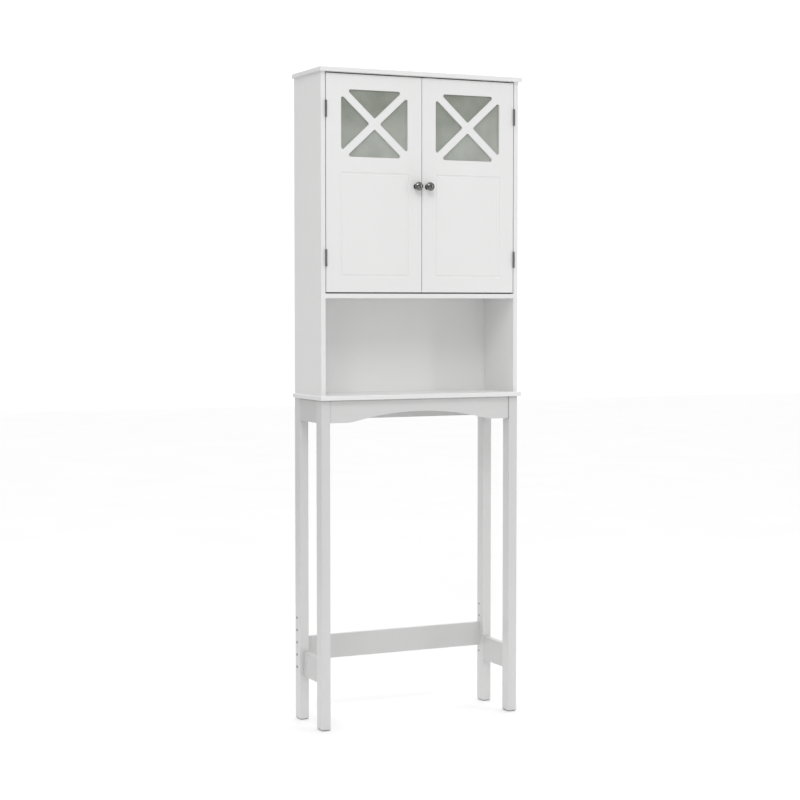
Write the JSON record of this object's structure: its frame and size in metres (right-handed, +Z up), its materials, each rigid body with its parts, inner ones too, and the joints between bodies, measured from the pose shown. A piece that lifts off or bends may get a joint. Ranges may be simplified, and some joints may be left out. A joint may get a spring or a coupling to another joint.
{
  "type": "over-the-toilet storage rack",
  "caption": "Free-standing rack that stands over a toilet: a cupboard with crossed-bar frosted windows over an open shelf, on a tall frame of legs with an arched apron",
  "frame": {"origin": "On the floor, under the middle of the whole rack with its knobs", "axes": "+Z up along the rack's height, +X towards the rack's right seen from the front, +Y back towards the wall; the doors and knobs face -Y"},
  "size_m": [0.584, 0.207, 1.71],
  "materials": {
    "painted_board": "satin white paint on board",
    "zinc_hardware": "bright zinc plate",
    "painted_frame": "satin white paint on solid wood",
    "bolt_black": "black oxide",
    "grey_plastic": "moulded, matte",
    "cam_metal": "cast zinc alloy, dull",
    "dowel_wood": "bare beech",
    "frosted_glass": "frosted, slightly green",
    "white_plastic": "moulded, matte",
    "knob_metal": "polished dark nickel",
    "hinge_metal": "satin nickel plate",
    "magnet": "ferrite, dull"
  },
  "bodies": {
    "carcass": {"top_board": "painted_board", "left_side_panel": "painted_board", "right_side_panel": "painted_board", "cupboard_floor": "painted_board", "adjustable_shelf": "painted_board", "shelf_pins": "zinc_hardware", "back_panel": "painted_board", "base_board": "painted_board", "front_left_leg": "painted_frame", "front_right_leg": "painted_frame", "rear_left_leg": "painted_frame", "rear_right_leg": "painted_frame", "front_apron": "painted_frame", "rear_apron": "painted_frame", "left_side_apron": "painted_frame", "right_side_apron": "painted_frame", "left_side_stretcher": "painted_frame", "right_side_stretcher": "painted_frame", "rear_stretcher": "painted_frame", "stretcher_bolts": "bolt_black", "stretcher_barrel_nuts": "zinc_hardware", "foot_glides": "grey_plastic", "cam_bolts": "zinc_hardware", "cam_locks": "cam_metal", "cabinet_dowels": "dowel_wood", "frame_dowels": "dowel_wood", "base_board_screws": "zinc_hardware", "left_hinge_frame_leaves": "hinge_metal", "right_hinge_frame_leaves": "hinge_metal", "left_hinge_pins": "hinge_metal", "right_hinge_pins": "hinge_metal", "frame_hinge_screws": "hinge_metal", "magnetic_catches": "white_plastic", "catch_magnets": "magnet", "catch_screws": "zinc_hardware"},
    "left_door_body": {"left_door": "painted_board", "left_glass": "frosted_glass", "left_glass_beads": "white_plastic", "left_knob": "knob_metal", "left_knob_screw": "zinc_hardware", "left_hinge_door_leaves": "hinge_metal", "left_door_hinge_screws": "hinge_metal", "left_strike_plate": "zinc_hardware", "left_strike_screw": "zinc_hardware"},
    "right_door_body": {"right_door": "painted_board", "right_glass": "frosted_glass", "right_glass_beads": "white_plastic", "right_knob": "knob_metal", "right_knob_screw": "zinc_hardware", "right_hinge_door_leaves": "hinge_metal", "right_door_hinge_screws": "hinge_metal", "right_strike_plate": "zinc_hardware", "right_strike_screw": "zinc_hardware"}
  },
  "joints": [
    {"name": "left_door_hinge", "type": "hinge", "parent": "carcass", "child": "left_door_body", "pos_m": [-0.2728, -0.0815, 1.4], "axis": [0, 0, -1], "range_deg": [0, 180]},
    {"name": "right_door_hinge", "type": "hinge", "parent": "carcass", "child": "right_door_body", "pos_m": [0.2728, -0.0815, 1.4], "axis": [0, 0, 1], "range_deg": [0, 180]}
  ]
}
